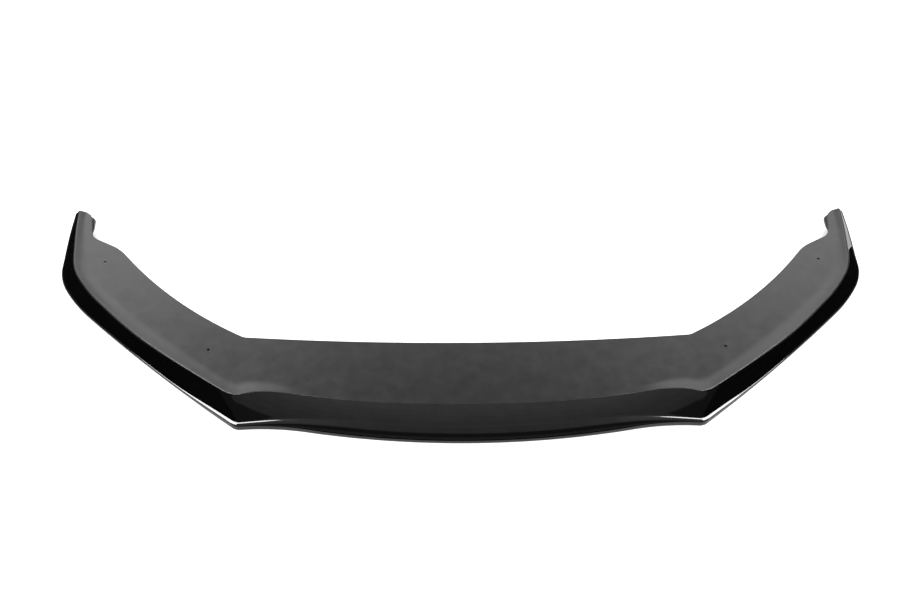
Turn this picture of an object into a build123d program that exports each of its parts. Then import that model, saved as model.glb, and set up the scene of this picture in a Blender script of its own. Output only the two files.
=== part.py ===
from build123d import *
from math import cos, degrees, hypot, radians, sin, tan
import os

# Front splitter lip: one formed plastic sheet with a flat mounting plate on top, a raised rim, a leaning
# outer wall and a small outward flange along the bottom. The front faces -Y and the bottom edge is on Z = 0.

# Sheet, plate, and how far the bottom edge rises along the tail, with the share of the tail it takes to start
SHEET = 4.0
PLATE_Z = 32.0
ARM_TILT = 1.0
TIP_RISE = 30.0
RISE_START = 0.25

# Plan of the bottom edge: tangent arcs from the middle of the front to the tail
BOW_RADIUS = 1760.0
BOW_TURN = 10.4
DIP_RADIUS = 510.0
DIP_TURN = 14.4
CORNER_RADIUS = 25.0
CORNER_TURN = 42.0
ARM_RADIUS = 4050.0
ARM_TURN = 6.0
SHOULDER_RADIUS = 400.0
SHOULDER_TURN = 14.0
BEND_RADIUS = 130.0
TAIL_RADIUS = 700.0
TAIL_LENGTH = 128.0
TAIL_WASTE = 8.0
TRIM_WASTE = 30.0
ARM_BLANK = 190.0

# Distances of three key sections from the corner
BROW_FROM_CORNER = 45.0
ROOT_FROM_CORNER = 30.0
WAIST_FROM_CORNER = 290.0

# How far the rim stands back from the bottom edge at each key section
CENTRE_FLARE = 69.5
BOW_FLARE = 64.6
BROW_FLARE = 65.0
CORNER_FLARE = 57.8
ROOT_FLARE = 48.3
WAIST_FLARE = 21.7
SHOULDER_FLARE = 33.7
BEND_FLARE = 32.8
TIP_FLARE = 10.5

# How far the rim stands above the plate, and how wide the hollow beside it is
CENTRE_STEP = 0.4
ARM_STEP = 4.5
TAIL_STEP = 6.0
CENTRE_HOLLOW = 14.0
ARM_HOLLOW = 24.0
TAIL_HOLLOW = 13.0

# Rounded nose along the front, and the flange that grows from it toward each corner and dies out on the arm
NOSE_HALF = 230.0
FLANGE_RUN = 190.0
NOSE_LIP = 17.0
CORNER_LIP = 10.0
ARM_LIP = 5.0
NOSE_LEDGE = 24.0
CORNER_LEDGE = 10.0
ARM_LEDGE = 3.0
LIP_LEAN = 10.5
LEDGE_TILT = 12.0

# Radii of the section, and the least height of the heel behind the bottom edge
NOSE_ROUND = 17.0
FLANGE_ROUND = 1.6
CORNER_FOOT_ROUND = 4.0
ARM_FOOT_ROUND = 1.5
CENTRE_RIM_ROUND = 9.0
ARM_RIM_ROUND = 5.0
ARM_HOLLOW_ROUND = 130.0
TAIL_HOLLOW_ROUND = 16.0
LEAST_HEEL = 1.0

# Trimmed outline of the plate
CENTRE_DEPTH = 223.0
CORNER_DEPTH = 204.0
CORNER_BLEND = 26.0
ARM_SAG = 20.0
EAR_INSET = 127.5
EAR_BACK = 18.0
EAR_ROUND = 60.0
NOTCH_INSET = 60.5
TAB_INSET = 48.0
NOTCH_BACK = 53.0
NOTCH_ROUND = 20.0
TAB_ROUND = 22.0

# Turned edge on the inner side of each tab
TURNED_WIDTH = 13.0
TURNED_START = 5.0
TURNED_ANGLE = 50.0
TURNED_LAP = 2.0
TURNED_THINNING = 0.1

# Screw holes and drill marks
HOLE_DIAMETER = 6.0
FRONT_HOLE_OUT = 67.0
FRONT_HOLE_BACK = 171.0
REAR_HOLE_INSET = 100.5
REAR_HOLE_AHEAD = 20.5
MARK_DIAMETER = 4.0
MARK_TIP = 1.0
MARK_DEPTH = 1.0
MARK_SPACING = 318.0
MARK_BACK = 132.0

# Spacing of the sections: closest round the corner, then growing up to the largest gap
SECTIONS_PER_CORNER = 4
SECTION_GROWTH = 1.5
FRONT_GAP = 60.0
ARM_GAP = 45.0
MIDDLE_OVERLAP = 90.0

# Plan of the bottom edge
bow = JernArc((0, 0), (1, 0), BOW_RADIUS, BOW_TURN)
dip = JernArc(bow @ 1, bow % 1, DIP_RADIUS, -DIP_TURN)
corner = JernArc(dip @ 1, dip % 1, CORNER_RADIUS, CORNER_TURN)
arm = JernArc(corner @ 1, corner % 1, ARM_RADIUS, ARM_TURN)
shoulder = JernArc(arm @ 1, arm % 1, SHOULDER_RADIUS, SHOULDER_TURN)
bend_turn = 90 - BOW_TURN + DIP_TURN - CORNER_TURN - ARM_TURN - SHOULDER_TURN
bend = JernArc(shoulder @ 1, shoulder % 1, BEND_RADIUS, bend_turn)
tail_turn = degrees((TAIL_LENGTH + TAIL_WASTE) / TAIL_RADIUS)
tail = JernArc(bend @ 1, bend % 1, TAIL_RADIUS, tail_turn)
legs = [bow, dip, corner, arm, shoulder, bend, tail]

corner_point = corner @ 0.5
bend_point = bend @ 1
tip_y = bend_point.Y + TAIL_LENGTH

# Path lengths of the key sections
bow_at = bow.length
corner_at = bow_at + dip.length + corner.length / 2
brow_at = corner_at - BROW_FROM_CORNER
root_at = corner_at + ROOT_FROM_CORNER
waist_at = corner_at + WAIST_FROM_CORNER
shoulder_at = corner_at + corner.length / 2 + arm.length + shoulder.length
bend_at = shoulder_at + bend.length
tip_at = bend_at + TAIL_LENGTH
end_at = bend_at + tail.length
keys = [0.0, bow_at, brow_at, corner_at, root_at, waist_at, shoulder_at, bend_at, tip_at, end_at]
flares = [CENTRE_FLARE, BOW_FLARE, BROW_FLARE, CORNER_FLARE, ROOT_FLARE, WAIST_FLARE]
flares += [SHOULDER_FLARE, BEND_FLARE, TIP_FLARE, TIP_FLARE]


def smooth(at, places, values):
    """Cubic curve through the values at the places, each slope taken from the two neighbours."""
    slopes = [0.0]
    for i in range(1, len(places) - 1):
        slopes.append((values[i + 1] - values[i - 1]) / (places[i + 1] - places[i - 1]))
    slopes.append(0.0)
    i = max(k for k in range(len(places) - 1) if places[k] <= at)
    gap = places[i + 1] - places[i]
    t = (at - places[i]) / gap
    rise = values[i] * (1 + 2 * t) * (1 - t) ** 2 + values[i + 1] * t * t * (3 - 2 * t)
    return rise + gap * (slopes[i] * t * (1 - t) ** 2 - slopes[i + 1] * t * t * (1 - t))


def ease(at, start, stop, low, high):
    """Value that goes from low to high between two places with level ends."""
    t = min(1.0, max(0.0, (at - start) / (stop - start)))
    return low + (high - low) * t * t * (3 - 2 * t)


def climb(share):
    """Curve that starts level and soon rises evenly, for a share of the tail."""
    return hypot(share, RISE_START) - RISE_START


def plate_height(x):
    """Height of the plate: level between the corners and rising outward along the arms."""
    return PLATE_Z + max(0.0, x - corner_point.X) * tan(radians(ARM_TILT))


def foot_point(place):
    """Point of the bottom edge at a path length from the middle of the front, negative to its left."""
    rest = abs(place)
    for leg in legs:
        if rest <= leg.length or leg is tail:
            spot = leg @ (rest / leg.length)
            return Vector(spot.X if place > 0 else -spot.X, spot.Y)
        rest -= leg.length


def crossing(p, p_dir, q, q_dir):
    """Point where two lines of the section plane meet."""
    t = ((q - p).X * q_dir.Y - (q - p).Y * q_dir.X) / (p_dir.X * q_dir.Y - p_dir.Y * q_dir.X)
    return p + p_dir * t


def below(direction):
    """Offset from the upper side of the sheet to its underside."""
    return Vector(direction.Y, -direction.X) * SHEET


def section(place):
    """Closed section of the sheet in an upright plane through one point of the bottom edge."""
    foot = foot_point(place)
    at = abs(place)
    base = TIP_RISE * climb(max(0.0, at - bend_at) / TAIL_LENGTH) / climb(1)
    heading = radians(ease(at, corner_at, bend_at, 90, 180))
    inward = Vector(cos(heading), sin(heading))

    flare = smooth(at, keys, flares)
    step = ease(at, bow_at, corner_at, CENTRE_STEP, ARM_STEP)
    step += ease(at, waist_at, bend_at, 0, TAIL_STEP - ARM_STEP)
    hollow = ease(at, bow_at, corner_at, CENTRE_HOLLOW, ARM_HOLLOW)
    hollow += ease(at, shoulder_at, tip_at, 0, TAIL_HOLLOW - ARM_HOLLOW)
    lip = ease(at, NOSE_HALF, corner_at, NOSE_LIP, CORNER_LIP)
    lip += ease(at, corner_at, corner_at + FLANGE_RUN, 0, ARM_LIP - CORNER_LIP)
    ledge = ease(at, NOSE_HALF, corner_at, NOSE_LEDGE, CORNER_LEDGE)
    ledge += ease(at, corner_at, corner_at + FLANGE_RUN, 0, ARM_LEDGE - CORNER_LEDGE)
    nose_round = ease(at, NOSE_HALF, corner_at, NOSE_ROUND, FLANGE_ROUND)
    foot_round = ease(at, corner_at, corner_at + FLANGE_RUN, CORNER_FOOT_ROUND, ARM_FOOT_ROUND)
    rim_round = ease(at, 0, corner_at, CENTRE_RIM_ROUND, ARM_RIM_ROUND)
    hollow_round = ease(at, shoulder_at, tip_at, ARM_HOLLOW_ROUND, TAIL_HOLLOW_ROUND)
    reach = ease(at, corner_at, waist_at, CENTRE_DEPTH + TRIM_WASTE, ARM_BLANK)

    lip_top = Vector(lip * tan(radians(LIP_LEAN)), base + lip)
    ledge_end = Vector(ledge, lip_top.Y + (ledge - lip_top.X) * tan(radians(LEDGE_TILT)))
    rim = Vector(flare, plate_height(foot.X + inward.X * flare) + step)
    trough = flare + hollow
    floor = Vector(trough, plate_height(foot.X + inward.X * trough))
    inner = Vector(reach, plate_height(foot.X + inward.X * reach))

    wall_dir = (rim - ledge_end).normalized()
    curl_dir = (floor - rim).normalized()
    plate_dir = (inner - floor).normalized()
    wall_under = ledge_end + below(wall_dir)
    curl_under = rim + below(curl_dir)
    inner_under = inner + below(plate_dir)
    rim_under = crossing(wall_under, wall_dir, curl_under, curl_dir)
    floor_under = crossing(curl_under, curl_dir, inner_under, plate_dir)

    slope = wall_dir.Y / wall_dir.X
    toe = max(SHEET, wall_under.X - (wall_under.Y - base) / slope)
    heel_z = max(base, wall_under.Y + (SHEET - wall_under.X) * slope) + LEAST_HEEL
    heel = Vector(wall_under.X + (heel_z - wall_under.Y) / slope, heel_z)

    corners = [(0, base), lip_top, ledge_end, rim, floor, inner]
    rounds = [0, nose_round, foot_round, rim_round, hollow_round, 0]
    corners += [inner_under, floor_under, rim_under, heel, (toe, base)]
    rounds += 5 * [0]
    outline = FilletPolyline(corners, radius=rounds, close=True)
    plane = Plane(origin=foot, x_dir=inward, z_dir=(inward.Y, -inward.X, 0))
    return Wire((plane * outline).edges())


def spread(start, stop, gap, largest):
    """Places from start to stop, with gaps that grow from the first one up to the largest."""
    places = [start]
    way = 1 if stop > start else -1
    while abs(stop - places[-1]) > 1.5 * gap:
        places.append(places[-1] + way * gap)
        gap = min(gap * SECTION_GROWTH, largest)
    return places + [stop]


# Formed sheet: right half through its sections, which start a little to the left of the middle
corner_gap = corner.length / SECTIONS_PER_CORNER
front_places = spread(corner_at, -MIDDLE_OVERLAP, corner_gap, FRONT_GAP)
arm_places = spread(corner_at, end_at, corner_gap, ARM_GAP)
formed = Solid.make_loft([section(place) for place in sorted(front_places[1:] + arm_places)])

# Trimming of the plate, seen from above, for the right half
far_x = bend_point.X + TRIM_WASTE
far_y = tip_y + 2 * TRIM_WASTE
middle = (0, CENTRE_DEPTH)
inner_corner = (corner_point.X, corner_point.Y + CORNER_DEPTH)
ear = (bend_point.X - EAR_INSET, bend_point.Y + EAR_BACK)
notch = (bend_point.X - NOTCH_INSET, bend_point.Y + NOTCH_BACK)
tab_end = (bend_point.X - TAB_INSET, tip_y)
front_edge = TangentArc(middle, inner_corner, tangent=(1, 0))
arm_edge = SagittaArc(inner_corner, ear, -ARM_SAG)
tab_edge = Polyline(ear, notch, tab_end, (far_x, tip_y), (far_x, far_y), (0, far_y), middle)
waste = make_face(front_edge.edges() + arm_edge.edges() + tab_edge.edges())
trim_rounds = {inner_corner: CORNER_BLEND, ear: EAR_ROUND, notch: NOTCH_ROUND, tab_end: TAB_ROUND}
for place, radius in trim_rounds.items():
    waste = fillet(waste.vertices().sort_by_distance(place)[0], radius)
waste = extrude(waste, amount=2 * PLATE_Z, both=True)

# Left of the middle plane
left_waste = Pos(X=-far_x / 2) * Box(far_x, 4 * far_y, 4 * PLATE_Z)


def turned(y, width):
    """Section of the turned edge across the tab at one place along it."""
    sheet = SHEET * (1 - TURNED_THINNING)
    way = Vector(-cos(radians(TURNED_ANGLE)), 0, -sin(radians(TURNED_ANGLE)))
    inside = Vector(way.Z, 0, -way.X) * sheet
    fold_x = notch[0] + (y - notch[1]) / (tab_end[1] - notch[1]) * (tab_end[0] - notch[0])
    fold = Vector(fold_x, y, plate_height(fold_x) - (SHEET - sheet) / 2)
    lap = fold + Vector(TURNED_LAP, 0, 0)
    edge = fold + way * width
    return Wire.make_polygon([lap, fold, edge, edge - inside, lap - Vector(0, 0, sheet)], close=True)


# Right half: trimmed sheet with the turned edge of its tab and its screw holes
turned_edge = Solid.make_loft([
    turned(notch[1] + NOTCH_ROUND / 4, TURNED_START),
    turned(tip_y - TAB_ROUND, TURNED_WIDTH),
], ruled=True)
half = formed - waste - left_waste + turned_edge
hole = Cylinder(HOLE_DIAMETER / 2, 4 * PLATE_Z)
half -= Pos(corner_point.X + FRONT_HOLE_OUT, corner_point.Y + FRONT_HOLE_BACK) * hole
half -= Pos(bend_point.X - REAR_HOLE_INSET, bend_point.Y - REAR_HOLE_AHEAD) * hole

# Whole lip, with three drill marks in the front plate
lip = half + mirror(half, Plane.YZ)
mark = Cone(MARK_TIP / 2, MARK_DIAMETER - MARK_TIP / 2, 2 * MARK_DEPTH)
for x in (-MARK_SPACING, 0, MARK_SPACING):
    lip -= Pos(x, MARK_BACK, PLATE_Z) * mark
lip = Pos(Y=-tip_y / 2) * lip

os.makedirs("parts", exist_ok=True)
export_step(lip.solids()[0], "parts/splitter_lip.step")
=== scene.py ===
from math import asin, cos, radians, sin, tan

import bpy
import numpy as np
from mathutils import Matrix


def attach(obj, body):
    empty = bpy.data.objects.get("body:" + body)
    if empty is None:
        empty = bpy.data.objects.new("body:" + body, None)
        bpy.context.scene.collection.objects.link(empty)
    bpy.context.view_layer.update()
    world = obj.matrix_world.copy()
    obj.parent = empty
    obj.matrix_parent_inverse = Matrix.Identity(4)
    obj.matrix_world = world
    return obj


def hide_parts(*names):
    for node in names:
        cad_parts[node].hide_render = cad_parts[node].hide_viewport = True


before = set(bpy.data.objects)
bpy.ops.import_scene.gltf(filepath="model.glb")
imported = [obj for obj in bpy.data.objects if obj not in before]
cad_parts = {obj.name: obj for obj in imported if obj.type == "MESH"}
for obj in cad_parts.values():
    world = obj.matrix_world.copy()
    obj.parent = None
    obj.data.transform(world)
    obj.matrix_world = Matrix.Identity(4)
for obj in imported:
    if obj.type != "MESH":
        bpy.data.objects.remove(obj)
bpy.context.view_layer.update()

# Splitter lip, plan of its bottom edge
# The lip is one sheet of black ABS, heated, drawn over a mould and trimmed to its outline. Its bottom edge
# is a chain of tangent arcs from the middle of the front to the tail. Sizes are in mm, turns in degrees.
BOW_RADIUS, BOW_TURN = 1760.0, 10.4
DIP_RADIUS, DIP_TURN = 510.0, 14.4
CORNER_RADIUS, CORNER_TURN = 25.0, 42.0
ARM_RADIUS, ARM_TURN = 4050.0, 6.0
SHOULDER_RADIUS, SHOULDER_TURN = 400.0, 14.0
BEND_RADIUS = 130.0
BEND_TURN = 90 - BOW_TURN + DIP_TURN - CORNER_TURN - ARM_TURN - SHOULDER_TURN
TAIL_RADIUS, TAIL_LENGTH = 700.0, 128.0
TAIL_TURN = np.degrees(asin(TAIL_LENGTH / TAIL_RADIUS))
LEGS = [
    (BOW_RADIUS, BOW_TURN), (DIP_RADIUS, -DIP_TURN), (CORNER_RADIUS, CORNER_TURN), (ARM_RADIUS, ARM_TURN),
    (SHOULDER_RADIUS, SHOULDER_TURN), (BEND_RADIUS, BEND_TURN), (TAIL_RADIUS, TAIL_TURN),
]
LEG_LENGTHS = np.array([radius * radians(abs(turn)) for radius, turn in LEGS])
LEG_ENDS = np.cumsum(LEG_LENGTHS)


def plan(at):
    """Points of the bottom edge: each arc adds the integral of its direction over the part that is passed."""
    heading = 0.0
    spot = np.zeros((len(at), 2))
    for (radius, turn), end, length in zip(LEGS, LEG_ENDS, LEG_LENGTHS):
        passed = np.clip(at - (end - length), 0, length)
        bend = np.sign(turn) / radius
        facing = heading + bend * passed
        spot[:, 0] += (np.sin(facing) - sin(heading)) / bend
        spot[:, 1] += (cos(heading) - np.cos(facing)) / bend
        heading += radians(turn)
    return spot


BOW_AT = LEG_ENDS[0]
CORNER_AT = LEG_ENDS[1] + LEG_LENGTHS[2] / 2
BROW_AT = CORNER_AT - 45.0
ROOT_AT = CORNER_AT + 30.0
WAIST_AT = CORNER_AT + 290.0
SHOULDER_AT, BEND_AT, TIP_AT = LEG_ENDS[4:7]
corner_point, bend_point, tip_point = plan(np.array([CORNER_AT, BEND_AT, TIP_AT]))

# Splitter lip, trimmed outline of the plate
# A router cuts the formed sheet along the back of the plate, down the inside of each arm, round the rear ear
# and into the notch in front of the tail tab. Every corner of the cut is rounded.
CENTRE_DEPTH, CORNER_DEPTH = 223.0, 204.0
ARM_SAG = 20.0
EAR_FROM_BEND = (-127.5, 18.0)
NOTCH_FROM_BEND = (-60.5, 53.0)
TAB_INSET, PAST_TIP = 48.0, 60.0
INNER_ROUND, EAR_ROUND, NOTCH_ROUND, TAB_ROUND = 26.0, 105.0, 34.0, 22.0
FRONT_POINTS, ARM_POINTS, EAR_POINTS, TAB_POINTS, TIP_POINTS, ROUND_POINTS = 61, 200, 60, 90, 60, 40
inner_corner = corner_point + (0.0, CORNER_DEPTH)
ear = bend_point + EAR_FROM_BEND
notch = bend_point + NOTCH_FROM_BEND
tab_end = np.array([bend_point[0] - TAB_INSET, tip_point[1]])
tab_stop = tip_point + (PAST_TIP, 0.0)


def sagged(start, stop, sag, count):
    """Points of the circle through start and stop that stands off their chord by sag, right of the way."""
    chord = stop - start
    length = np.hypot(*chord)
    radius = (length ** 2 / 4 + sag ** 2) / (2 * sag)
    half = asin(length / 2 / radius)
    angle = np.linspace(-half, half, count)[:, None]
    along = chord / length
    right = np.array([along[1], -along[0]])
    return (start + stop) / 2 + along * radius * np.sin(angle) + right * (sag - radius * (1 - np.cos(angle)))


def rounded(lines, radii, count):
    """Joins point lines end to end with circular arcs, each a rational quadratic curve between its tangent
    points whose middle weight is the cosine of half the turn."""
    joined = [lines[0]]
    for line, radius in zip(lines[1:], radii):
        last = joined[-1]
        corner = line[0]
        before = corner - last[-2]
        before /= np.hypot(*before)
        after = line[1] - corner
        after /= np.hypot(*after)
        half_turn = np.arccos(before @ after) / 2
        cut = radius * tan(half_turn)
        joined[-1] = last[(last - corner) @ before < -cut]
        line = line[(line - corner) @ after > cut]
        u = np.linspace(0, 1, count)[:, None]
        weights = [(1 - u) ** 2, 2 * u * (1 - u) * cos(half_turn), u ** 2]
        points = [corner - before * cut, corner, corner + after * cut]
        joined += [sum(w * p for w, p in zip(weights, points)) / sum(weights), line]
    return np.concatenate(joined)


front_sag = inner_corner[1] - CENTRE_DEPTH
mirrored_corner = inner_corner * (-1, 1)
whole_front_cut = sagged(mirrored_corner, inner_corner, front_sag, 2 * FRONT_POINTS - 1)
cuts = [
    whole_front_cut[FRONT_POINTS - 1:], sagged(inner_corner, ear, ARM_SAG, ARM_POINTS),
    np.linspace(ear, notch, EAR_POINTS), np.linspace(notch, tab_end, TAB_POINTS),
    np.linspace(tab_end, tab_stop, TIP_POINTS),
]
trim = rounded(cuts, [INNER_ROUND, EAR_ROUND, NOTCH_ROUND, TAB_ROUND], ROUND_POINTS)

# Splitter lip, stations along the edge
# A section of the sheet stands at each station. Stations are close together round the corners and at the tips
# and further apart where the lip is plain. From each one the sheet reaches inward to the trimmed outline.

# Each pair: place along the edge, gap between stations there.
STATION_GAPS = [
    (0, 7.5), (380, 6.0), (430, 2.2), (450, 1.0), (470, 1.0), (500, 2.5), (560, 5.5), (WAIST_AT, 6.0),
    (SHOULDER_AT, 4.5), (BEND_AT + 40, 2.0), (TIP_AT - 26, 2.0), (TIP_AT - 6, 1.2), (TIP_AT, 0.3),
]
FINE_POINTS = 4001
NEARLY, TINY = 1e-6, 1e-12


def ease(at, start, stop, low, high):
    """Value that goes from low to high between two places along the edge, level at both ends: 3t2 - 2t3."""
    t = np.clip((at - start) / (stop - start), 0, 1)
    return low + (high - low) * t * t * (3 - 2 * t)


def toward(angle):
    """Unit vectors at the angles: cosine and sine."""
    return np.stack([np.cos(angle), np.sin(angle)], axis=-1)


fine = np.linspace(0, TIP_AT, FINE_POINTS)
density = 1 / np.interp(fine, *zip(*STATION_GAPS))
tally = np.concatenate([[0], np.cumsum((density[1:] + density[:-1]) / 2 * np.diff(fine))])
at = np.interp(np.linspace(0, tally[-1], int(tally[-1]) + 1), tally, fine)
foot = plan(at)
inward = toward(np.radians(ease(at, CORNER_AT, BEND_AT, 90, 180)))

# A section meets the outline where the outline goes from one side of the section's plane to the other. The
# last section lies along the cut across the tip and stops where that cut begins.
side = (trim[None, :, 0] - foot[:, None, 0]) * inward[:, None, 1]
side -= (trim[None, :, 1] - foot[:, None, 1]) * inward[:, None, 0]
ahead = np.sum((trim[None] - foot[:, None]) * inward[:, None], axis=-1)
hit = np.argmax((side[:, :-1] <= 0) & (side[:, 1:] >= 0), axis=1)
hit[-1] = np.argmin(np.abs(trim[:, 1] - tip_point[1]) > NEARLY) - 1
each = np.arange(len(at))
share = np.clip(side[each, hit] / (side[each, hit] - side[each, hit + 1] - TINY), 0, 1)
reach = ahead[each, hit] + share * (ahead[each, hit + 1] - ahead[each, hit])

# Splitter lip, bottom lip, ledge, wall and rim
# From the bottom edge the sheet rises in a lip, rolls over a ledge and leans back up the wall to the rim.
# Then it dips into a hollow beside the plate. The mould makes the lip tall at the front and low on the arms.
NOSE_HALF, FLANGE_RUN = 230.0, 190.0
PLATE_Z, ARM_TILT = 32.0, 1.0
STEP_CENTRE, STEP_CORNER, STEP_TAIL = 0.1, 4.5, 6.0
HOLLOW_CENTRE, HOLLOW_CORNER, HOLLOW_TIP = 14.0, 24.0, 13.0
LIP_NOSE, LIP_CORNER, LIP_ARM = 17.0, 10.0, 5.0
LEDGE_NOSE, LEDGE_CORNER, LEDGE_ARM = 24.0, 10.0, 3.0
LIP_LEAN = 10.5
NOSE_TILT, LEDGE_TILT = 18.5, 12.0
NOSE_TILT_FADES = (150.0, CORNER_AT - 110)
TIP_RISE, RISE_START = 30.0, 0.25
# Each pair: place along the edge, distance of the rim in from it.
RIM_INSETS = [
    (0, 69.5), (BOW_AT, 64.6), (BROW_AT, 65.0), (CORNER_AT, 57.8), (ROOT_AT, 48.3),
    (WAIST_AT, 21.7), (SHOULDER_AT, 33.7), (BEND_AT, 32.8), (TIP_AT, 10.5), (TIP_AT + 8, 10.5),
]
flange_end = CORNER_AT + FLANGE_RUN


def smooth(at, places, values):
    """Cubic through the values at the places: each slope comes from the two neighbours, level at the ends."""
    places, values = np.array(places), np.array(values)
    slopes = np.zeros(len(places))
    slopes[1:-1] = (values[2:] - values[:-2]) / (places[2:] - places[:-2])
    i = np.clip(np.searchsorted(places, at, side="right") - 1, 0, len(places) - 2)
    gap = places[i + 1] - places[i]
    t = (at - places[i]) / gap
    ends = values[i] * (1 + 2 * t) * (1 - t) ** 2 + values[i + 1] * t * t * (3 - 2 * t)
    return ends + gap * (slopes[i] * t * (1 - t) ** 2 - slopes[i + 1] * t * t * (1 - t))


def plate_height(x):
    """Height of the plate: level between the corners and rising outward at a small angle along the arms."""
    return PLATE_Z + np.maximum(0.0, x - corner_point[0]) * tan(radians(ARM_TILT))


def on_plate(inset, rise=0.0):
    """Section points at an inset from the bottom edge, at the height of the plate there plus a rise."""
    return np.stack([inset, plate_height(foot[:, 0] + inward[:, 0] * inset) + rise], axis=-1)


flare = smooth(at, *zip(*RIM_INSETS))
step = ease(at, BOW_AT, CORNER_AT, STEP_CENTRE, STEP_CORNER)
step += ease(at, WAIST_AT, BEND_AT, 0, STEP_TAIL - STEP_CORNER)
hollow = ease(at, BOW_AT, CORNER_AT, HOLLOW_CENTRE, HOLLOW_CORNER)
hollow += ease(at, SHOULDER_AT, TIP_AT, 0, HOLLOW_TIP - HOLLOW_CORNER)
lip = ease(at, NOSE_HALF, CORNER_AT, LIP_NOSE, LIP_CORNER)
lip += ease(at, CORNER_AT, flange_end, 0, LIP_ARM - LIP_CORNER)
ledge = ease(at, NOSE_HALF, CORNER_AT, LEDGE_NOSE, LEDGE_CORNER)
ledge += ease(at, CORNER_AT, flange_end, 0, LEDGE_ARM - LEDGE_CORNER)

# The bottom edge of the tail climbs along a hyperbola, level at the bend and nearly straight at the tip.
climb = np.hypot(np.maximum(0, at - BEND_AT) / TAIL_LENGTH, RISE_START) - RISE_START
base = TIP_RISE * climb / (np.hypot(1, RISE_START) - RISE_START)

# The steeper ledge at the nose starts lower, so that its inner end keeps its height.
lean = tan(radians(LIP_LEAN))
tilt = np.tan(np.radians(ease(at, *NOSE_TILT_FADES, NOSE_TILT, LEDGE_TILT)))
lip -= (ledge - lip * lean) * (tilt - tan(radians(LEDGE_TILT)))
lip_back = lip * lean
lip_top = np.stack([lip_back, base + lip], axis=-1)
ledge_end = np.stack([ledge, base + lip + (ledge - lip_back) * tilt], axis=-1)
trough = flare + hollow
rim = on_plate(flare, step)
floor_line = on_plate(trough)

# Splitter lip, cut edge and turned tab edges
# Along the tail tab the cut edge is rolled down in two bends while the sheet is warm. Everywhere else the
# roll is nothing and the same lines give a plain cut edge.
TURNED_WIDTH, TURNED_START, TURNED_AFTER_NOTCH = 13.0, 5.0, 5.0
TURNED_ROLL = 35.0
GROW_BEFORE, GROW_AFTER, FADE_RUN = 8.0, 30.0, 9.0
EDGE_WIDTH, LEAST_PLATE = 1.6, 0.6


def unit(v):
    """Vectors along the last axis, divided by their length."""
    return v / np.linalg.norm(v, axis=-1, keepdims=True)


turned_first = notch[1] + TURNED_AFTER_NOTCH
turned_last = tip_point[1] - TAB_ROUND
width = np.interp(foot[:, 1], [turned_first, turned_last], [TURNED_START, TURNED_WIDTH])
turned = ease(foot[:, 1], turned_first - GROW_BEFORE, turned_first + GROW_AFTER, 0, 1)
turned *= ease(foot[:, 1], turned_last, turned_last + FADE_RUN, 1, 0)
half_width = (EDGE_WIDTH + (width - EDGE_WIDTH) * turned)[:, None] / 2
fold = on_plate(np.maximum(reach - EDGE_WIDTH * (1 - turned), trough + LEAST_PLATE))
plate_dir = unit(fold - floor_line)
plate_angle = np.arctan2(plate_dir[:, 1], plate_dir[:, 0])
roll = radians(TURNED_ROLL) * turned
roll_dir = toward(plate_angle - roll)
flap_dir = toward(plate_angle - 2 * roll)
flap_mid = fold + roll_dir * half_width
flap_end = flap_mid + flap_dir * half_width

# Splitter lip, underside
# The underside follows the upper side at the thickness of the sheet. At the foot it stops in a flat bottom
# edge, where the lip is no thinner than the sheet.
SHEET = 4.0
HEEL_RISE = 1.0


def below(direction):
    """Offset from the sheet's upper side to its underside: the direction turned down by a right angle."""
    return np.stack([direction[..., 1], -direction[..., 0]], axis=-1) * SHEET


def crossing(p, p_dir, q, q_dir):
    """Points where two lines of each section plane meet, from the cross products of their directions."""
    gap = q - p
    spread = p_dir[:, 0] * q_dir[:, 1] - p_dir[:, 1] * q_dir[:, 0]
    t = (gap[:, 0] * q_dir[:, 1] - gap[:, 1] * q_dir[:, 0]) / spread
    return p + p_dir * t[:, None]


flap_under = flap_end + below(flap_dir)
flap_mid_under = flap_mid + below(unit(roll_dir + flap_dir)) / np.cos(roll / 2)[:, None]
fold_under = fold + below(unit(plate_dir + roll_dir)) / np.cos(roll / 2)[:, None]
plate_under = fold + below(plate_dir)
wall_dir = unit(rim - ledge_end)
curl_dir = unit(floor_line - rim)
wall_under = ledge_end + below(wall_dir)
curl_under = rim + below(curl_dir)
rim_under = crossing(wall_under, wall_dir, curl_under, curl_dir)
floor_under = crossing(curl_under, curl_dir, plate_under, plate_dir)
slope = wall_dir[:, 1] / wall_dir[:, 0]
toe = np.maximum(SHEET, wall_under[:, 0] - (wall_under[:, 1] - base) / slope)
heel_z = np.maximum(base, wall_under[:, 1] + (SHEET - wall_under[:, 0]) * slope) + HEEL_RISE
heel = np.stack([wall_under[:, 0] + (heel_z - wall_under[:, 1]) / slope, heel_z], axis=-1)

# Splitter lip, whole surface
# The section lines of all stations make one closed skin. The mould is slightly crowned, so the front slope
# and the ledge at the corners bulge a little. The left half is the mirror image of the right one.
MM = 0.001
LEAST_CUT, MOST_CUT = 0.05, 0.72
NOSE_ROUND, FLANGE_ROUND = 17.0, 1.6
CORNER_FOOT_ROUND, ARM_FOOT_ROUND = 4.0, 1.5
CENTRE_RIM_ROUND, CORNER_RIM_ROUND = 9.0, 5.0
ARM_HOLLOW_ROUND, TIP_HOLLOW_ROUND = 130.0, 16.0
LEAST_RIM_ROUND = 0.5
LEDGE_CROWN, WALL_CROWN = 0.25, 1.0
LEDGE_CROWN_GROWS = (CORNER_AT - 150, CORNER_AT - 30)
LEDGE_CROWN_FADES = (CORNER_AT - 10, CORNER_AT + 15)
WALL_CROWN_FADES = (CORNER_AT, CORNER_AT + 60)
SATIN_ROWS = 4


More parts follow.
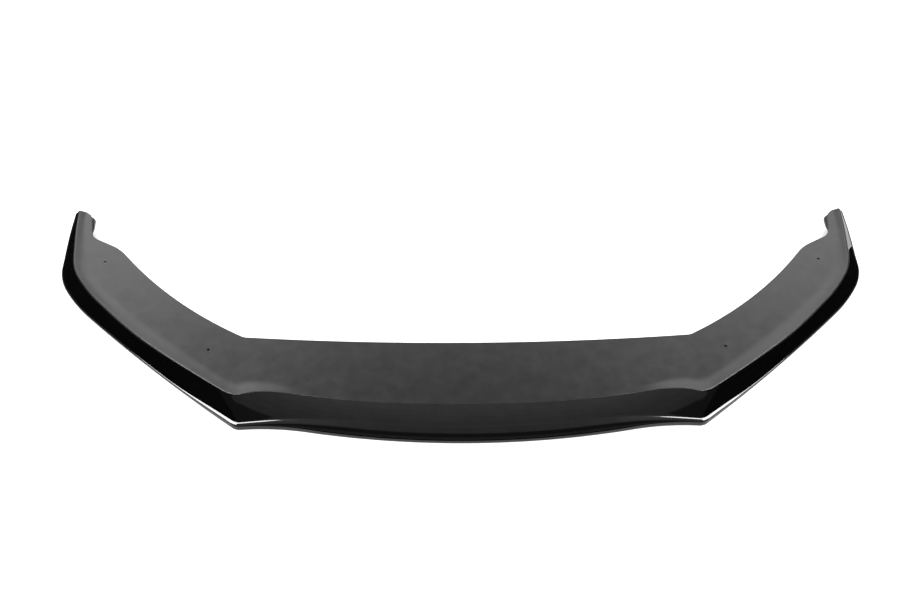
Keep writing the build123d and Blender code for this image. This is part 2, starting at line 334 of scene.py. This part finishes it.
def outline(corners, rounds, arcs, straights):
    """Closed section lines: each corner is a circular arc, as a rational quadratic curve whose middle weight
    is the cosine of half the turn, and the straight runs between the arcs are divided evenly."""
    before = corners - np.roll(corners, 1, axis=0)
    after = np.roll(corners, -1, axis=0) - corners
    half_turn = np.arccos(np.clip(np.sum(unit(before) * unit(after), axis=-1), -1, 1)) / 2
    room = np.minimum(np.linalg.norm(before, axis=-1), np.linalg.norm(after, axis=-1))
    cut = np.clip(rounds * np.tan(half_turn), LEAST_CUT * room, MOST_CUT * room)[..., None]
    start = corners - unit(before) * cut
    stop = corners + unit(after) * cut
    lines = []
    for k in range(len(corners)):
        u = np.linspace(0, 1, arcs[k])[:, None, None]
        weights = [(1 - u) ** 2, 2 * u * (1 - u) * np.cos(half_turn[k])[:, None], u ** 2]
        points = [start[k], corners[k], stop[k]]
        lines.append(sum(w * p for w, p in zip(weights, points)) / sum(weights))
        t = np.linspace(0, 1, straights[k] + 2)[1:-1, None, None]
        lines.append(stop[k] + (start[(k + 1) % len(corners)] - stop[k]) * t)
    return np.concatenate(lines)


def put(name, data):
    """Object that holds the data, linked to the scene."""
    thing = bpy.data.objects.new(name, data)
    bpy.context.scene.collection.objects.link(thing)
    return thing


level = np.zeros_like(at)
nose_round = ease(at, NOSE_HALF, CORNER_AT, NOSE_ROUND, FLANGE_ROUND)
foot_round = ease(at, CORNER_AT, flange_end, CORNER_FOOT_ROUND, ARM_FOOT_ROUND)
rim_round = ease(at, 0, CORNER_AT, CENTRE_RIM_ROUND, CORNER_RIM_ROUND)
hollow_round = ease(at, SHOULDER_AT, TIP_AT, ARM_HOLLOW_ROUND, TIP_HOLLOW_ROUND)
# Each row: corner of the section, its round, rows on the round, rows on the straight run after it.
profile = [
    (np.stack([level, base], axis=-1), level + 0.9, 4, 1),
    (lip_top, nose_round, 10, 6),
    (ledge_end, foot_round, 7, 11),
    (rim, rim_round, 10, 3),
    (floor_line, hollow_round, 9, 12),
    (fold, level + 5.0, 4, 0),
    (flap_mid, level + 5.0, 4, 0),
    (flap_end, level + 0.8, 4, 1),
    (flap_under, level + 0.5, 3, 0),
    (flap_mid_under, level + 1.0, 2, 0),
    (fold_under, level + 1.0, 2, 8),
    (floor_under, hollow_round + SHEET, 5, 2),
    (rim_under, np.maximum(LEAST_RIM_ROUND, rim_round - SHEET), 5, 5),
    (heel, level + 0.3, 2, 0),
    (np.stack([toe, base], axis=-1), level + 0.5, 3, 1),
]
corners, rounds, arcs, straights = zip(*profile)
section = outline(np.stack(corners), np.stack(rounds), arcs, straights)
ledge_rows = sum(arcs[:2]) + sum(straights[:2])
wall_rows = sum(arcs[:3]) + sum(straights[:3])
ledge_crown = ease(at, *LEDGE_CROWN_GROWS, 0.0, LEDGE_CROWN)
ledge_crown -= ease(at, *LEDGE_CROWN_FADES, 0.0, LEDGE_CROWN)
wall_crown = ease(at, *WALL_CROWN_FADES, WALL_CROWN, 0.0)
# A crown is a parabola over the straight run, in the direction away from the underside.
for last, run, way, height in (
    (ledge_rows, straights[1], unit(ledge_end - lip_top), ledge_crown),
    (wall_rows, straights[2], wall_dir, wall_crown),
):
    across = np.linspace(0, 1, run + 2)[1:-1, None, None]
    section[last - run:last] -= 4 * across * (1 - across) * height[:, None] * below(way) / SHEET
spots = foot[None] + section[..., :1] * inward[None]
right_half = np.concatenate([spots, section[..., 1:]], axis=-1)
right_half[..., 1] -= tip_point[1] / 2
left_half = right_half[:, :0:-1] * (-1, 1, 1)
surface = np.concatenate([left_half, right_half], axis=1) * MM

row_count, column_count = surface.shape[:2]
index = np.arange(row_count * column_count).reshape(row_count, column_count)
next_row = np.roll(index, -1, axis=0)
quads = np.stack([index[:, :-1], index[:, 1:], next_row[:, 1:], next_row[:, :-1]], axis=-1).reshape(-1, 4)
caps = [index[:, 0].tolist(), index[::-1, -1].tolist()]
lip_mesh = bpy.data.meshes.new("splitter_lip_skin")
lip_mesh.from_pydata(surface.reshape(-1, 3), [], quads.tolist() + caps)
# The finish goes from gloss on the wall to satin on the plate over the first rows of the rim.
satin_rows = np.clip((np.arange(row_count) - wall_rows) / SATIN_ROWS, 0, 1)
satin = lip_mesh.attributes.new("satin", "FLOAT", "POINT")
satin.data.foreach_set("value", np.repeat(satin_rows, column_count).astype(np.float32))
lip_mesh.update()
splitter_lip = put("splitter_lip_skin", lip_mesh)

# Splitter lip, screw holes and drill marks
# Screws go up through two holes beside the front corners and one in each rear ear. The drill marks in the
# front plate are shallow countersinks that stop inside the sheet.
HOLE_RADIUS, HOLE_LOW, HOLE_HIGH = 3.0, 15.0, 60.0
FRONT_HOLE_FROM_CORNER = (67.0, 171.0)
REAR_HOLE_FROM_BEND = (-100.5, -20.5)
MARK_RADIUS, MARK_TIP, MARK_DEPTH = 2.0, 0.5, 1.0
MARK_SPACING, MARK_BACK = 318.0, 132.0
CUT_MARGIN = 0.5
SHARP_ANGLE = 30.0
front_hole = corner_point + FRONT_HOLE_FROM_CORNER
rear_hole = bend_point + REAR_HOLE_FROM_BEND
hole_spots = [hole * (way, 1) for hole in (front_hole, rear_hole) for way in (-1, 1)]
mark_spots = [np.array([x, MARK_BACK]) for x in (-MARK_SPACING, 0.0, MARK_SPACING)]


def drill(spots, radii, heights, count=32):
    """Closed round cutters: rings of the radii at the heights round each spot, with flat ends."""
    ring = toward(np.linspace(0, 2 * np.pi, count, endpoint=False))
    near = np.arange(count)
    far = np.roll(near, -1)
    points, faces = [], []
    for spot in spots:
        first = sum(len(p) for p in points)
        points += [np.column_stack([spot + ring * r, np.full(count, z)]) for r, z in zip(radii, heights)]
        walls = np.column_stack([near, far, far + count, near + count]) + first
        faces += walls.tolist() + [(near[::-1] + first).tolist(), (near + count + first).tolist()]
    points = np.concatenate(points) - (0, tip_point[1] / 2, 0)
    mesh = bpy.data.meshes.new("drill")
    mesh.from_pydata(points * MM, [], faces)
    return put("drill", mesh)


mark_radii = (MARK_TIP, MARK_RADIUS * 2 - MARK_TIP)
mark_heights = (PLATE_Z - MARK_DEPTH, PLATE_Z + MARK_DEPTH)
cutters = [
    drill(hole_spots, (HOLE_RADIUS, HOLE_RADIUS), (HOLE_LOW, HOLE_HIGH)),
    drill(mark_spots, mark_radii, mark_heights),
]
for cutter in cutters:
    cut = splitter_lip.modifiers.new("drilled", "BOOLEAN")
    cut.object = cutter
    cut.operation = "DIFFERENCE"
    cut.solver = "MANIFOLD"
drilled = splitter_lip.evaluated_get(bpy.context.evaluated_depsgraph_get())
lip_mesh = bpy.data.meshes.new_from_object(drilled)
splitter_lip.modifiers.clear()
splitter_lip.data = lip_mesh
for cutter in cutters:
    bpy.data.objects.remove(cutter)

# The cut leaves no finish on its new points, so they get the plate's.
vertices = np.empty((len(lip_mesh.vertices), 3), np.float32)
lip_mesh.vertices.foreach_get("co", vertices.ravel())
cut_spots = (np.array(hole_spots + mark_spots) - (0, tip_point[1] / 2)) * MM
away = np.linalg.norm(vertices[:, None, :2] - cut_spots, axis=-1).min(axis=1)
finish = np.empty(len(vertices), np.float32)
lip_mesh.attributes["satin"].data.foreach_get("value", finish)
finish[away < (HOLE_RADIUS + CUT_MARGIN) * MM] = 1.0
lip_mesh.attributes["satin"].data.foreach_set("value", finish)
lip_mesh.shade_smooth()
lip_mesh.set_sharp_from_angle(angle=radians(SHARP_ANGLE))

# Splitter lip, black ABS
# Extruded ABS sheet keeps its gloss where it was drawn over the polished mould and loses some on the plate.
# The eye sees near-black with soft grey reflections on the plate and hard ones on the wall.
GLOSS, SATIN = 0.06, 0.30
BLOTCH_SIZE, RIPPLE_SIZE = 30.0, 4.0
BLOTCH_RANGE = {"From Min": 0.3, "From Max": 0.7}
PEEL_DEPTH, PEEL_STRENGTH = 0.3, 0.035


def colour(code):
    """Linear colour of an sRGB hex code."""
    srgb = np.array([int(code[i:i + 2], 16) for i in (1, 3, 5)]) / 255
    linear = np.where(srgb <= 0.04045, srgb / 12.92, ((srgb + 0.055) / 1.055) ** 2.4)
    return (*linear, 1.0)


def blank(name):
    """Material with an empty node tree."""
    material = bpy.data.materials.new(name)
    material.use_nodes = True
    material.node_tree.nodes.clear()
    return material


def add(tree, kind, settings, links=()):
    """Adds a node with its settings by name, and links outputs of other nodes to its inputs."""
    node = tree.nodes.new(kind)
    for name, value in settings.items():
        if isinstance(name, int) or name in node.inputs:
            node.inputs[name].default_value = value
        else:
            setattr(node, name, value)
    for output, name in links:
        tree.links.new(output, node.inputs[name])
    return node


abs_plastic = blank("gloss_black_abs")
tree = abs_plastic.node_tree
place = add(tree, "ShaderNodeTexCoord", {}).outputs["Object"]
plate = add(tree, "ShaderNodeAttribute", {"attribute_name": "satin"}).outputs["Fac"]
blotch = add(tree, "ShaderNodeTexNoise", {"Scale": 1 / (BLOTCH_SIZE * MM), "Detail": 5.0, "Roughness": 0.6}, [
    (place, "Vector"),
]).outputs["Fac"]
gloss = add(tree, "ShaderNodeMapRange", {"To Min": GLOSS, "To Max": SATIN, "clamp": False}, [
    (plate, "Value"),
])
uneven = add(tree, "ShaderNodeMapRange", {**BLOTCH_RANGE, "To Min": 0.93, "To Max": 1.07}, [
    (blotch, "Value"),
])
# The export drops the link from the smudges. The shader's own specular level is their mean.
smudge = add(tree, "ShaderNodeMapRange", {**BLOTCH_RANGE, "To Min": 0.45, "To Max": 0.55}, [
    (blotch, "Value"),
])
rough = add(tree, "ShaderNodeMath", {"operation": "MULTIPLY"}, [
    (gloss.outputs["Result"], 0), (uneven.outputs["Result"], 1),
])
ripple = add(tree, "ShaderNodeTexNoise", {"Scale": 1 / (RIPPLE_SIZE * MM), "Detail": 2.0}, [
    (place, "Vector"),
])
depth = add(tree, "ShaderNodeMath", {"operation": "MULTIPLY", 1: PEEL_STRENGTH}, [(plate, 0)])
peel = add(tree, "ShaderNodeBump", {"Distance": PEEL_DEPTH * MM}, [
    (depth.outputs["Value"], "Strength"), (ripple.outputs["Fac"], "Height"),
])
shader = add(tree, "ShaderNodeBsdfPrincipled", {"Base Color": colour("#080809"), "IOR": 1.5}, [
    (rough.outputs["Value"], "Roughness"), (smudge.outputs["Result"], "Specular IOR Level"),
    (peel.outputs["Normal"], "Normal"),
])
add(tree, "ShaderNodeOutputMaterial", {}, [(shader.outputs["BSDF"], "Surface")])
lip_mesh.materials.clear()
lip_mesh.materials.append(abs_plastic)
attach(splitter_lip, "root")
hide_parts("splitter_lip")

# Floor
# A very wide sheet of matt white paper lies under the lip. The camera and the gloss of the lip see it as
# white, and a painted shade darkens its glow where the lip closes it in, so the holes and the space under the
# plate stay dark.
FLOOR_HALF = 100.0
SHADE_REACH, SHADE_SAMPLES = 0.12, 8
SHADE_DARK, SHADE_CLEAR = 0.25, 0.7
floor_corners = [(x * FLOOR_HALF, y * FLOOR_HALF, 0) for x, y in ((-1, -1), (1, -1), (1, 1), (-1, 1))]
floor_mesh = bpy.data.meshes.new("floor")
floor_mesh.from_pydata(floor_corners, [], [(0, 1, 2, 3)])
floor = put("floor", floor_mesh)
paper = blank("white_paper")
tree = paper.node_tree
rays = add(tree, "ShaderNodeLightPath", {}).outputs
seen = add(tree, "ShaderNodeMath", {"operation": "ADD"}, [
    (rays["Is Camera Ray"], 0), (rays["Is Glossy Ray"], 1),
])
seen = add(tree, "ShaderNodeMath", {"operation": "ADD", "use_clamp": True}, [
    (seen.outputs["Value"], 0), (rays["Is Transmission Ray"], 1),
])
matte = add(tree, "ShaderNodeBsdfDiffuse", {"Color": colour("#b4b4b4")})
# Painted shade: an ambient-occlusion mask dims the floor's white glow where the lip closes it in.
shade = add(tree, "ShaderNodeAmbientOcclusion", {"Distance": SHADE_REACH, "samples": SHADE_SAMPLES})
clear = add(tree, "ShaderNodeMapRange", {
    "interpolation_type": "SMOOTHSTEP", "From Min": SHADE_DARK, "From Max": SHADE_CLEAR,
}, [(shade.outputs["AO"], "Value")])
glow_with_painted_shade = add(tree, "ShaderNodeMath", {"operation": "MULTIPLY"}, [
    (seen.outputs["Value"], 0), (clear.outputs["Result"], 1),
])
white = add(tree, "ShaderNodeEmission", {"Color": colour("#ffffff")}, [(glow_with_painted_shade.outputs["Value"], "Strength")])
sheet = add(tree, "ShaderNodeAddShader", {}, [(matte.outputs["BSDF"], 0), (white.outputs["Emission"], 1)])
add(tree, "ShaderNodeOutputMaterial", {}, [(sheet.outputs["Shader"], "Surface")])
floor_mesh.materials.append(paper)

# Light
# Soft boxes above and behind the lip are what the plate mirrors, and bright strips over the corners and arms
# draw the white line along its foot. Dim strips grade the front slope, and dim panels stand round the lip.
BOX_Z, CEILING_Z, PANEL_Z = 2.0, 2.1, 1.1
CEILING_FRONT, CEILING_STRIP, CEILING_WIDTH = -0.65, 0.2, 3.6
CEILING_STRIPS, CEILING_DIM, CEILING_BRIGHT = 8, 0.26, 0.72
PANEL_AWAY, PANEL_WIDTH, PANEL_HEIGHT = 3.6, 5.0, 1.6
ROOM_LIGHT = 0.08


def soft_box(name, centre, width, depth, turn, tip, radiance):
    """Area lamp of an even radiance, tipped from level: its power is the radiance times its area times pi."""
    lamp = bpy.data.lights.new(name, "AREA")
    lamp.shape = "RECTANGLE"
    lamp.size = width
    lamp.size_y = depth
    lamp.energy = radiance * width * depth * np.pi
    box = put(name, lamp)
    box.location = centre
    box.rotation_euler = (radians(tip), 0, radians(turn))
    box.visible_camera = False


# Each row: name, centre, width and depth in metres, turn and tip in degrees, radiance.
boxes = [
    ("rear_middle_box", (0, 2.56, BOX_Z), 1.5, 2.0, 0, 0, 2.45),
    ("rear_left_box", (-1.65, 2.6, BOX_Z), 1.8, 2.1, 0, 0, 4.2),
    ("rear_right_box", (1.65, 2.6, BOX_Z), 1.8, 2.1, 0, 0, 3.6),
    ("right_corner_strip", (1.06, 0.50, BOX_Z), 0.35, 0.24, 0, 0, 24.0),
    ("right_arm_strip", (1.58, 0.37, BOX_Z), 1.0, 0.44, 26, 0, 25.0),
    ("left_corner_strip", (-0.88, 0.50, BOX_Z), 0.35, 0.24, 0, 0, 24.0),
    ("left_arm_strip", (-1.42, 0.37, BOX_Z), 1.0, 0.44, -26, 0, 25.0),
]
for k, radiance in enumerate(np.linspace(CEILING_DIM, CEILING_BRIGHT, CEILING_STRIPS)):
    centre = (0, CEILING_FRONT + CEILING_STRIP * k, CEILING_Z)
    boxes.append(("ceiling", centre, CEILING_WIDTH, CEILING_STRIP, 0, 0, radiance))
boxes += [
    ("front_panel", (0, -PANEL_AWAY, PANEL_Z), PANEL_WIDTH, PANEL_HEIGHT, 0, 90, 0.15),
    ("right_panel", (PANEL_AWAY, 0, PANEL_Z), PANEL_WIDTH, PANEL_HEIGHT, 90, 90, 0.7),
    ("left_panel", (-PANEL_AWAY, 0, PANEL_Z), PANEL_WIDTH, PANEL_HEIGHT, -90, 90, 0.7),
]
for box in boxes:
    soft_box(*box)
world = bpy.data.worlds.new("room")
bpy.context.scene.world = world
world.use_nodes = True
world.node_tree.nodes["Background"].inputs["Color"].default_value = (1, 1, 1, 1)
world.node_tree.nodes["Background"].inputs["Strength"].default_value = ROOM_LIGHT

# Cards
# Matt cards lie along both arms, close to the bottom edge, and rise at their far side. The walls mirror them,
# black along the arms and grey at the right tail. Only reflections show them, and they cast no shadow.
CARD_WIDTH, CARD_FLAT = 250.0, 0.5
CARD_GAP_FRONT, CARD_GAP_BACK = 13.0, 2.0
CARD_POINTS, HALF_STEP = 80, 0.5
PAST_TAIL = 150.0
GREY_AT = BEND_AT + 55
# Each pair: distance past the corner, height of the card there.
CARD_TOPS = [(4, 1), (5, 420), (200, 260), (360, 130), (430, 60)]
cards = {}
for name, shade in (("black_card", "#080808"), ("grey_card", "#d4d4d4")):
    cards[name] = blank(name)
    tree = cards[name].node_tree
    dull = add(tree, "ShaderNodeBsdfDiffuse", {"Color": colour(shade)})
    add(tree, "ShaderNodeOutputMaterial", {}, [(dull.outputs["BSDF"], "Surface")])
for name, way, first, last, more, kind in (
    ("right_card", 1, 0, GREY_AT, 0, "black_card"),
    ("right_tail_card", 1, GREY_AT + 1, TIP_AT, PAST_TAIL, "grey_card"),
    ("left_card", -1, 0, TIP_AT, PAST_TAIL, "black_card"),
):
    places = np.linspace(first, last, CARD_POINTS)
    along = unit(plan(places + HALF_STEP) - plan(places - HALF_STEP))
    outward = np.stack([along[:, 1], -along[:, 0]], axis=-1)
    line = plan(places) - (0, tip_point[1] / 2)
    gap = ease(places, WAIST_AT, SHOULDER_AT, CARD_GAP_FRONT, CARD_GAP_BACK)[:, None]
    near = line + outward * gap
    near = np.vstack([near, near[-1] + along[-1] * more])
    far = line + outward * CARD_WIDTH
    far = np.vstack([far, far[-1] + along[-1] * more])
    top = np.interp(places - CORNER_AT, *zip(*CARD_TOPS))
    top = np.append(top, top[-1])
    flat = np.full(len(top), CARD_FLAT)
    edges = ((near, flat), (far, flat), (far, top))
    points = np.concatenate([np.column_stack([*edge.T, z]) for edge, z in edges])
    strip = np.arange(len(top) - 1)[:, None] + [0, 1, len(top) + 1, len(top)]
    card_mesh = bpy.data.meshes.new(name)
    card_mesh.from_pydata(points * (way, 1, 1) * MM, [], np.concatenate([strip, strip + len(top)]).tolist())
    card_mesh.materials.append(cards[kind])
    card = put(name, card_mesh)
    card.visible_camera = False
    card.visible_shadow = False
    card.visible_diffuse = False

# Camera
# It looks down on the lip from the front, a little left of the middle, from about two and a half metres.
# Its place, turn and lens were fitted to the perspective of the lip.
camera = put("camera", bpy.data.cameras.new("camera"))
camera.data.sensor_width = 36.0
camera.data.lens = 46.9565
camera.location = (-0.10303, -1.59283, 1.92238)
camera.rotation_euler = np.radians([40.5447, -1.3195, -1.5758])
bpy.context.scene.camera = camera
bpy.context.scene.view_settings.view_transform = "Standard"
